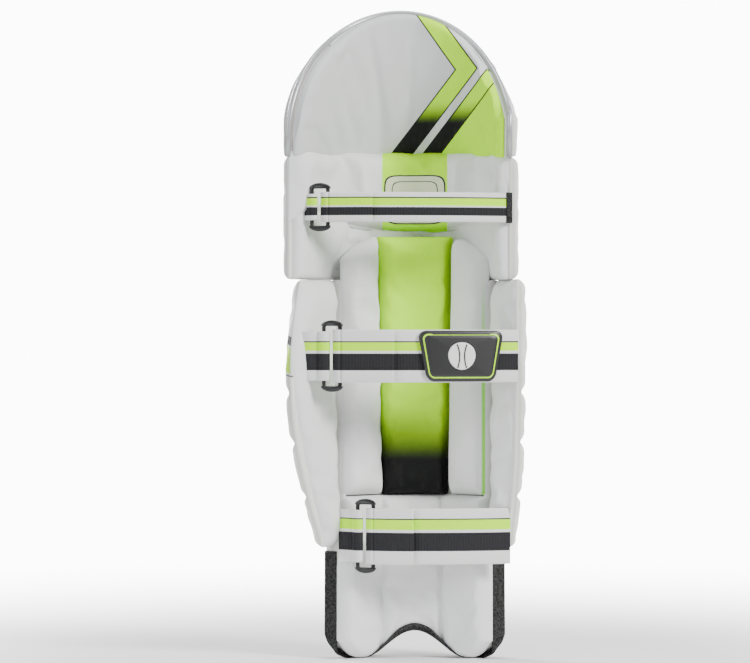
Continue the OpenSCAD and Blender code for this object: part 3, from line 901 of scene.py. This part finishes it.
def knee_pieces():
    half = math.radians(62) * KNEE.radius
    for level, name in enumerate(("lower", "middle", "upper")):
        low = SHIN_TOP + 0.4 * MM + level * BOLSTER_PITCH
        high = low + BOLSTER_PITCH + 0.3 * MM
        spots = [(-half * 0.80 + half * 1.6 * k / 5, low + BOLSTER_PITCH * 0.5) for k in range(6)]
        roll = quilt(f"knee_bolster_{name}_cloth", KNEE, [-half, half], [low, high], 18 * MM, [M["white"]],
                     face=-9 * MM, back=-17 * MM, round_s=20 * MM, round_z=21 * MM,
                     dimples=spots, step=(5 * MM, 3.2 * MM), soft=0.9)
        dress(roll, "knee_roll", "pu_white", f"knee_bolster_{name}")
        if name == "middle":
            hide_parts("knee_bolster_cores")
    foot = SHIN_TOP - SEAM_LAP
    head = HAT_BASE + SEAM_LAP
    outer_end = KNEE.length_to_y(9 * MM, foot, 1)
    inner_end = KNEE.length_to_y(-10 * MM, foot, -1)
    outer = quilt("knee_side_outer_cloth", KNEE, [half + 1 * MM, outer_end], [foot, head], 3.5 * MM,
                  [M["white"]], face=-0.5 * MM, back=-9 * MM, soft=0.4, give=1 * MM)
    inner = quilt("knee_side_inner_cloth", KNEE, [inner_end, -half - 1 * MM], [foot, head], 3.5 * MM,
                  [M["white"]], face=-0.5 * MM, back=-9 * MM, soft=0.4, give=1 * MM)
    backing = quilt("knee_backing_cloth", KNEE, [inner_end + 2 * MM, outer_end - 2 * MM], [foot, head],
                    -3 * MM, [M["lining"]], face=-18 * MM, back=backing_back, round_s=12 * MM,
                    round_z=12 * MM)
    cushion = quilt("knee_cushion_cloth", KNEE, [inner_end + 1 * MM, outer_end + 5 * MM],
                    [HAT_BASE - 82 * MM, HAT_BASE + 14 * MM], cushion_swell, [M["cushion"]], face=-10 * MM,
                    back=cushion_back, round_s=30 * MM, round_z=34 * MM, fit=cushion_fit(), soft=1.6)
    dress(outer, "knee_roll", "pu_white", "knee_side_outer_cover", "knee_side_outer_foam")
    dress(inner, "knee_roll", "pu_white", "knee_side_inner_cover", "knee_side_inner_foam")
    dress(backing, "knee_roll", "lining_white", "knee_backing")
    dress(cushion, "knee_roll", "lining_white", "knee_cushion")


def cushion_swell(s, z):
    """Stands well off the bolsters in the middle and thins out on the side panels."""
    middle = np.clip((112 * MM - np.abs(s)) / (20 * MM), 0, 1)
    return -(18 + 15 * middle) * MM


def backing_back(s, z):
    """The backing's hidden side, behind the bolsters and then inside the side panels."""
    return -14 * MM + 8 * MM * np.clip((np.abs(s) - 114 * MM) / (10 * MM), 0, 1)


def cushion_back(s, z):
    """The cushion's hidden side, behind the bolsters and then on the side panels."""
    return -24 * MM + 16 * MM * np.clip((np.abs(s) - 96 * MM) / (22 * MM), 0, 1)


def cushion_fit():
    """Lets the cushion's lower edge hang in a shallow curve."""
    low = HAT_BASE - 82 * MM
    high = HAT_BASE + 14 * MM

    def fit(s, z):
        share = (z - low) / (high - low)
        lift = 10 * MM * np.clip(np.abs(s) / (130 * MM), 0, 1) ** 2
        return s, z + lift * (1 - share)

    return fit


# ---- top hat ----


def hat_ends(inset):
    """Lengths round the wall at which the rim comes down to the top hat's foot."""
    runs = np.linspace(0, 0.30, 601)
    ends = []
    for side, longest in ((-1, HAT.edge + HAT_INNER_REACH), (1, 0.30)):
        low = hat_rim(side * runs, inset) < HAT_BASE + 16 * MM
        ends.append(side * min(float(runs[np.argmax(low)]) if low.any() else longest, longest))
    return ends[0], ends[1]


def hat_pieces():
    foot = HAT_FOOT
    half = HAT.edge - 1.5 * MM
    puff_top = foot + 38 * MM
    inset = 3.5 * MM
    inner_end, outer_end = hat_ends(inset)

    def swell(s, z):
        cap = 4.5 * MM / (1 + np.exp((z - puff_top) / (1.2 * MM)))
        return 6 * MM + cap

    def fanned(s, z):
        """Carries the channels to the rim, and arches the head of each puff."""
        across = np.cos(math.pi * (s + half) / (2 * half) * CHANNELS) ** 2
        arch = 9 * MM * (0.5 - across) * np.exp(-(((z - puff_top) / (17 * MM)) ** 2))
        share = np.clip((z - puff_top) / (PAD_TOP - puff_top), 0, 1)
        head = puff_top + share * (hat_rim(s, inset) - puff_top)
        return s, np.where(z < puff_top, z, head) + arch

    cover = quilt("hat_cover", HAT, channel_breaks(half), [foot, puff_top, PAD_TOP], swell, [M["white"]],
                  face=-0.5 * MM, back=-12 * MM, round_s=14 * MM, round_z=14 * MM, fit=fanned)
    lining = quilt("hat_lining", HAT, [inner_end, outer_end], [foot, PAD_TOP], -4 * MM, [M["hat"]],
                   face=-17 * MM, back=-11 * MM, round_s=16 * MM, round_z=16 * MM, fit=hat_fit(foot, inset),
                   soft=1.0)
    outer = quilt("hat_side_outer_cloth", HAT, [half + 1 * MM, outer_end], [foot, PAD_TOP], 3 * MM,
                  [M["grey"]], face=-0.5 * MM, back=-12 * MM, fit=hat_fit(foot, inset))
    inner = quilt("hat_side_inner_cloth", HAT, [inner_end, -half - 1 * MM], [foot, PAD_TOP], 3 * MM,
                  [M["white"]], face=-0.5 * MM, back=-12 * MM, fit=hat_fit(foot, inset))
    rim_s = np.linspace(inner_end - 1 * MM, outer_end + 1 * MM, 120)
    rim = HAT.point(rim_s, hat_rim(rim_s, 2.6 * MM), np.full(120, -6 * MM))
    start = HAT.point(rim_s[:1], np.array([foot]), -6 * MM)
    end = HAT.point(rim_s[-1:], np.array([foot]), -6 * MM)
    path = np.concatenate([start, rim, end])
    piping = sweep("hat_rim_piping", path, round_section(path, 3.4 * MM), [M["piping"]])
    dress(cover, "top_hat", "pu_white", "hat_facing")
    dress(lining, "top_hat", "lining_silver", "hat_liner", "hat_foam")
    dress(outer, "top_hat", "pu_grey", "hat_side_outer_cover", "hat_side_outer_foam")
    dress(inner, "top_hat", "pu_white", "hat_side_inner_panel")
    dress(piping, "top_hat", "piping_silver", "hat_piping")


def gussets():
    """Strips of cover cloth that join neighbouring bodies across the two cross seams."""
    inner, outer = hat_ends(9 * MM)
    for name, a, b, seam, under, over in (
        ("knee_gusset", "shin_guard", "knee_roll", SHIN_TOP + 0.4 * MM, 0.0, 15 * MM),
        ("hat_gusset", "knee_roll", "top_hat", HAT_BASE, 14 * MM, 12 * MM),
    ):
        s, z = np.meshgrid(np.linspace(inner, outer, 110), np.linspace(seam - under, seam + over, 13))
        depth = -13.5 * MM + 8.5 * MM * np.clip((np.abs(s) - 116 * MM) / (12 * MM), 0, 1)
        front = KNEE.point(s, z, depth)
        rear = KNEE.point(s, z, depth - 2.5 * MM)
        strip = mesh_object(name, *closed_sheet(front, rear), [M["white"]])
        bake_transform(strip)
    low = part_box("outer_wing_cover")[0].z + 4 * MM
    for side, body in ((1, "outer_wing"), (-1, "inner_wing")):
        s, z = np.meshgrid(side * np.linspace(SHIN.edge - 9 * MM, SHIN.edge + 9 * MM, 9),
                           np.linspace(low, SHIN_EDGE_Z - 3 * MM, 60))
        front = SHIN.point(s, z, np.full(s.shape, -5 * MM))
        rear = SHIN.point(s, z, np.full(s.shape, -7.5 * MM))
        strip = mesh_object(f"{body}_gusset", *closed_sheet(front, rear), [M["white"]])
        middle = (low + SHIN_EDGE_Z) / 2
        near, far = SHIN.point(side * np.array([SHIN.edge - 4 * MM, SHIN.edge + 4 * MM]), middle, -6 * MM)
        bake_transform(strip)


# ---- straps ----


class StrapArc:
    """The level arc of one strap, found from its packed web."""

    def __init__(self, key):
        node = frame["nodes"][f"{key}_strap_web"]
        co = np.array([v.co for v in node.data.vertices])
        system = np.c_[2 * co[:, :2], np.ones(len(co))]
        fitted = np.linalg.lstsq(system, (co[:, :2] ** 2).sum(1), rcond=None)[0]
        self.centre = fitted[:2]
        self.radius = math.sqrt(fitted[2] + self.centre @ self.centre)
        self.low = float(co[:, 2].min())
        self.high = float(co[:, 2].max())
        self.sewn = self.angle(JOINTS[f"{key}_strap_swing"]["pos_m"])
        self.fold = self.angle(JOINTS[f"{key}_flap_peel"]["pos_m"])
        hinge = np.array(JOINTS[f"{key}_flap_peel"]["pos_m"][:2])
        self.flap_depth = float(np.linalg.norm(hinge - self.centre)) - self.radius
        self.pin = np.array(JOINTS[f"{key}_ring_turn"]["pos_m"][:2])

    def angle(self, point):
        """Angle from +Y towards +X, seen from the arc's centre."""
        return math.atan2(point[0] - self.centre[0], point[1] - self.centre[1])

    def at(self, angle, depth):
        reach = self.radius + depth
        return self.centre + reach * np.array([math.sin(angle), math.cos(angle)])

    def turn(self, length):
        return length / self.radius


def ribbon(name, line, low, high, thickness, materials, edge=1.2 * MM):
    """A flat strap of some thickness along a level line, with softly rounded edges."""
    line = np.asarray(line)
    tangent = np.gradient(line, axis=0)
    tangent /= np.linalg.norm(tangent, axis=1, keepdims=True)
    normal = np.c_[tangent[:, 1], -tangent[:, 0]]
    half = thickness / 2
    profile = [(-half, low + edge), (-half * 0.4, low), (half * 0.4, low), (half, low + edge)]
    steps = 8
    profile += [(half, low + edge + (high - low - 2 * edge) * k / steps) for k in range(1, steps)]
    profile += [(half, high - edge), (half * 0.4, high), (-half * 0.4, high), (-half, high - edge)]
    profile += [(-half, high - edge - (high - low - 2 * edge) * k / steps) for k in range(1, steps)]
    path = np.c_[line, np.zeros(len(line))]

    def section(i):
        return np.array([[normal[i, 0] * d, normal[i, 1] * d, z] for d, z in profile])

    return sweep(name, path, section, materials)


def strap_pieces(key, holder, tab_more, shares):
    """Webbing, fold-back, hook tape and ring tab of one strap. holder is the body that its tab is sewn to."""
    arc = StrapArc(key)
    tab_node = f"{key}_strap_tab"
    cloth = [strap_webbing(f"{key}_webbing", arc.low, arc.high, shares)]
    thickness = 2.2 * MM
    ring_bar = arc.fold - arc.turn(1.5 * MM)
    outward = arc.at(ring_bar, 1.0) - arc.at(ring_bar, 0.0)
    along = np.array([outward[1], -outward[0]])
    bar = arc.at(ring_bar, 0.0)
    loop_r = arc.flap_depth
    web_line = [arc.at(a, 0.0) for a in np.linspace(arc.sewn, ring_bar - arc.turn(9 * MM), 48)]
    web_line += [arc.at(a, -share * loop_r) for a, share in
                 ((ring_bar - arc.turn(6 * MM), 0.35), (ring_bar - arc.turn(3 * MM), 0.8))]
    for a in np.linspace(-math.pi / 2, math.pi / 2 * 0.85, 14):
        web_line.append(bar + loop_r * (1.5 * math.cos(a) * along + math.sin(a) * outward))
    web_line.append(arc.at(ring_bar - arc.turn(1.4 * MM), arc.flap_depth))
    web = ribbon(f"{key}_strap_webbing", web_line, arc.low, arc.high, thickness, cloth)
    dress(web, f"{key}_strap", "webbing", f"{key}_strap_web")

    if key == "knee":
        end_line = [arc.at(a, 0.9 * MM) for a in np.linspace(arc.sewn, arc.sewn + arc.turn(7 * MM), 5)]
        end = ribbon("knee_strap_end_tape", end_line, arc.low - 0.6 * MM, arc.high + 0.6 * MM, thickness,
                     [M["binding"]])
        dress(end, "knee_strap", "binding_black")

    flap_node = frame["nodes"][f"{key}_strap_flap"]
    tip = min(arc.angle(v.co) for v in flap_node.data.vertices)
    flap_line = [arc.at(a, arc.flap_depth) for a in np.linspace(ring_bar - arc.turn(1.7 * MM), tip, 24)]
    flap = ribbon(f"{key}_strap_fold_back", flap_line, arc.low, arc.high, thickness, cloth)
    dress(flap, f"{key}_flap", "webbing", f"{key}_strap_flap")

    hook_line = [arc.at(a, arc.flap_depth - 1.75 * MM)
                 for a in np.linspace(ring_bar - arc.turn(6 * MM), tip + arc.turn(4 * MM), 20)]
    hook = ribbon(f"{key}_hook_tape", hook_line, arc.low + 3 * MM, arc.high - 3 * MM, 1.0 * MM, [M["hook"]],
                  0.3 * MM)
    dress(hook, f"{key}_flap", "hook_tape", f"{key}_strap_hook")

    co = np.array([v.co for v in frame["nodes"][tab_node].data.vertices])
    away = co[:, :2] - arc.pin
    far = co[np.argsort(-np.linalg.norm(away, axis=1))[:8], :2].mean(0)
    run = (far - arc.pin) / np.linalg.norm(far - arc.pin)
    far = far + tab_more * run
    across = np.array([run[1], -run[0]])
    turn_r = 4.0 * MM
    tab_line = [far + across * 1.2 * MM, arc.pin + run * 8 * MM + across * 1.2 * MM]
    for a in np.linspace(math.pi / 3, -math.pi, 14):
        tab_line.append(arc.pin - turn_r * (1.5 * math.cos(a) * run) + turn_r * math.sin(a) * across)
    tab_line += [arc.pin + run * 8 * MM - across * 1.2 * MM, far - across * 1.2 * MM]
    tab = ribbon(f"{key}_ring_tab", tab_line, co[:, 2].min(), co[:, 2].max(), 1.6 * MM, cloth, 0.6 * MM)
    dress(tab, holder, "lining_white", tab_node)


def ring_ends(key, body):
    """Moulded black caps over the two short sides of a strap's ring."""
    low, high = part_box(f"{key}_strap_ring")
    centre = np.array([(low.x + high.x) / 2, (low.y + high.y) / 2])
    bar = np.array([high.x - low.x, -(high.y - low.y)])
    run = bar / np.linalg.norm(bar)
    across = np.array([-run[1], run[0]])
    for name, z, up in (("top", high.z - 5.4 * MM, 1), ("bottom", low.z + 5.4 * MM, -1)):
        sides, rings = 24, 7
        verts, faces = [], []
        for k in range(rings):
            lift = math.sin(k / (rings - 1) * math.pi / 2)
            width = math.sqrt(max(1 - lift**2, 0.0))
            for turn in np.linspace(0, 2 * math.pi, sides, endpoint=False):
                place = centre + run * 13 * MM * width * math.cos(turn)
                place += across * 3.4 * MM * width * math.sin(turn)
                verts.append((place[0], place[1], z + up * 6.4 * MM * lift))
        for k in range(rings - 1):
            for i in range(sides):
                n = (i + 1) % sides
                faces.append((k * sides + i, k * sides + n, (k + 1) * sides + n, (k + 1) * sides + i))
        faces.append(tuple(range(sides)))
        cap = mesh_object(f"{key}_ring_{name}_cap", verts, faces, [M["black"]])
        dress(cap, body, "moulded_black")


# ---- badges ----


def plate(verts, faces, place, outline, bottom, top, rings=7, bevel=1.0 * MM):
    """Adds a flat-topped plate of rings inside an outline to a mesh, laid on a curved place(u, v, depth)."""
    count = len(outline)
    start = len(verts)
    centre = outline.mean(0)
    levels = [(1.0, bottom), (1.0, top - bevel)]
    size = np.linalg.norm(outline - centre, axis=1).mean()
    levels += [(1 - bevel / size, top)]
    levels += [(k / rings, top) for k in range(rings - 1, 0, -1)]
    for share, depth in levels:
        ring = centre + (outline - centre) * share
        verts.extend(place(ring[:, 0], ring[:, 1], np.full(count, depth)))
    verts.extend(place(centre[:1], centre[1:], np.array([top])))
    for r in range(len(levels) - 1):
        a = start + r * count
        for k in range(count):
            n = (k + 1) % count
            faces.append((a + k, a + n, a + count + n, a + count + k))
    last = start + (len(levels) - 1) * count
    tip = len(verts) - 1
    for k in range(count):
        faces.append((last + k, last + (k + 1) % count, tip))


def rounded_outline(w, h, r, per_corner=9):
    points = []
    for k, (sx, sz) in enumerate(((1, 1), (-1, 1), (-1, -1), (1, -1))):
        for a in np.linspace(0, math.pi / 2, per_corner):
            turn = a + k * math.pi / 2
            points.append((sx * (w / 2 - r) + r * math.cos(turn), sz * (h / 2 - r) + r * math.sin(turn)))
    return np.array(points)


def disc_outline(r, count=40):
    turn = np.linspace(0, 2 * math.pi, count, endpoint=False)
    return np.c_[r * np.cos(turn), r * np.sin(turn)]


def badge(name, place, w, h, depth, node, body):
    """Black moulded plate, a lime frame on it, and a plain ball with two seams."""
    verts, faces, kinds = [], [], []
    layers = [
        (rounded_outline(w, h, 9 * MM), 0, depth, 0),
        (rounded_outline(w - 7 * MM, h - 7 * MM, 6.5 * MM), depth - 0.5 * MM, depth + 0.35 * MM, 1),
        (rounded_outline(w - 10 * MM, h - 10 * MM, 5.5 * MM), depth, depth + 0.6 * MM, 0),
        (disc_outline(min(w, h) * 0.27), depth, depth + 1.6 * MM, 2),
    ]
    for outline, low, high, kind in layers:
        before = len(faces)
        plate(verts, faces, place, outline, low, high, bevel=min(0.8 * MM, (high - low) / 2))
        kinds += [kind] * (len(faces) - before)
    seam_r = min(w, h) * 0.27
    for side in (-1, 1):
        up = np.linspace(-0.86, 0.86, 15) * seam_r
        bow = np.c_[side * seam_r * (0.18 + 0.22 * (up / seam_r) ** 2), up]
        width = 0.7 * MM
        outline = np.concatenate([bow + [width, 0], bow[::-1] - [width, 0]])
        before = len(faces)
        start = len(verts)
        for level in (depth + 1.2 * MM, depth + 2.0 * MM):
            verts.extend(place(outline[:, 0], outline[:, 1], np.full(len(outline), level)))
        count = len(outline)
        for k in range(count):
            n = (k + 1) % count
            faces.append((start + k, start + n, start + count + n, start + count + k))
        for k in range(14):
            a = start + count + k
            b = start + count + count - 1 - k
            faces.append((a, a + 1, b - 1, b))
        kinds += [0] * (len(faces) - before)
    obj = mesh_object(name, verts, faces, [M["badge"], M["lime"], M["ball"]])
    obj.data.polygons.foreach_set("material_index", kinds)
    dress(obj, body, "badge_rubber", node)


def on_wall(wall, s0, z0, lift):
    """Lays a badge's u and v on a wall round (s0, z0)."""

    def place(u, v, d):
        return wall.point(s0 + u, z0 + v, lift + d)

    return place


def badges():
    badge("instep_badge_plate", on_wall(SHIN, 4 * MM, 60 * MM, 4.5 * MM), 58 * MM, 42 * MM, 4 * MM,
          "instep_badge", "shin_guard")
    knee_s = KNEE.length_to_y(-21 * MM, 0.5, 1)
    badge("knee_badge_plate", on_wall(KNEE, knee_s, 494 * MM, 1.5 * MM), 46 * MM, 58 * MM, 3.5 * MM,
          "knee_side_badge", "knee_roll")
    arc = StrapArc("calf")
    middle = arc.angle((-52 * MM, 0.045))

    def place(u, v, d):
        spread = u * (1 + v / (230 * MM))
        flat = [arc.at(middle + arc.turn(-x), 1.6 * MM + depth) for x, depth in zip(spread, d)]
        return np.c_[np.array(flat), (arc.low + arc.high) / 2 + v]

    badge("calf_badge_plate", place, 86 * MM, 56 * MM, 3.5 * MM, "calf_strap_badge", "calf_strap")


# ---- stage ----


def pale_floor():
    """A pale matt floor that fades into the backdrop a little way out."""
    shader = Shader("floor_pale", (0.88, 0.88, 0.88), 0.7)
    tree = shader.tree
    length = tree.nodes.new("ShaderNodeVectorMath")
    length.operation = "LENGTH"
    shader.feed(length.inputs[0], shader.place)
    away = shader.above(length.outputs["Value"], 1.0, 0.7)
    clear = shader.node("ShaderNodeBsdfTransparent").outputs[0]
    mix = tree.nodes.new("ShaderNodeMixShader")
    shader.feed(mix.inputs[0], away)
    shader.feed(mix.inputs[1], shader.main.outputs[0])
    shader.feed(mix.inputs[2], clear)
    shader.feed(tree.nodes["Material Output"].inputs["Surface"], mix.outputs[0])
    return shader.material


def backdrop():
    """A white backdrop for the camera, and softer light from it on the pad."""
    world = bpy.data.worlds.new("studio")
    world.use_nodes = True
    tree = world.node_tree
    seen = tree.nodes["Background"]
    seen.inputs[0].default_value = (1, 1, 1, 1)
    seen.inputs[1].default_value = 12.0
    lit = tree.nodes.new("ShaderNodeBackground")
    lit.inputs[0].default_value = (0.93, 0.95, 0.97, 1)
    lit.inputs[1].default_value = 0.40
    path = tree.nodes.new("ShaderNodeLightPath")
    mix = tree.nodes.new("ShaderNodeMixShader")
    tree.links.new(path.outputs["Is Camera Ray"], mix.inputs[0])
    tree.links.new(lit.outputs[0], mix.inputs[1])
    tree.links.new(seen.outputs[0], mix.inputs[2])
    tree.links.new(mix.outputs[0], tree.nodes["World Output"].inputs["Surface"])
    bpy.context.scene.world = world


def studio():
    corners = [(-4, -4, 0), (4, -4, 0), (4, 4, 0), (-4, 4, 0)]
    floor = mesh_object("floor", corners, [(0, 1, 2, 3)], [pale_floor()])
    for name, place, size, power, tint in (
        ("key", (-2.3, 1.7, 1.9), 0.9, 150, (1, 0.99, 0.97)),
        ("fill", (2.2, 2.0, 1.2), 2.0, 48, (0.97, 0.98, 1)),
        ("front", (2.2, -2.0, 1.7), 0.9, 150, (1, 0.995, 0.98)),
        ("front_fill", (-2.2, -2.2, 1.4), 2.0, 44, (0.98, 0.99, 1)),
        ("top", (0, 0.2, 2.8), 1.2, 30, (1, 1, 1)),
    ):
        light = bpy.data.lights.new(name, "AREA")
        light.size = size
        light.energy = power
        light.color = tint
        lamp = bpy.data.objects.new(name, light)
        lamp.location = place
        lamp.rotation_euler = (Vector((0, 0, 0.36)) - Vector(place)).to_track_quat("-Z", "Y").to_euler()
        bpy.context.scene.collection.objects.link(lamp)
    backdrop()


def camera():
    """Looks at the back of the pad, where the straps are, from nearly level."""
    lens = bpy.data.cameras.new("camera")
    lens.lens = 160
    lens.sensor_width = 36
    lens.shift_x = -0.053
    eye = bpy.data.objects.new("camera", lens)
    eye.location = (0.0, 3.70, 0.366)
    eye.rotation_euler = (math.radians(90), 0, math.radians(180))
    bpy.context.scene.collection.objects.link(eye)
    bpy.context.scene.camera = eye


# ---- the pad ----

shin_pieces()
wing_pieces()
knee_pieces()
hat_pieces()
stuff(QUILTS)
for quilted in QUILTS:
    subdivide(quilted)
binding()
gussets()
strap_pieces("knee", "knee_roll", 9 * MM, (0.80, 0.55, 0.50, 0.22))
strap_pieces("calf", "outer_wing", 10 * MM, (0.76, 0.60, 0.55, 0.23))
strap_pieces("ankle", "shin_guard", 0.0, (0.80, 0.62, 0.57, 0.24))
badges()
for key in ("knee", "calf", "ankle"):
    ring_ends(key, f"{key}_ring")
    frame["nodes"][f"{key}_strap_ring"].data.materials.clear()
    frame["nodes"][f"{key}_strap_ring"].data.materials.append(M["black"])
for node in ("shin_canes", "hat_canes"):
    frame["nodes"][node].data.materials.clear()
    frame["nodes"][node].data.materials.append(M["cane"])
studio()
camera()
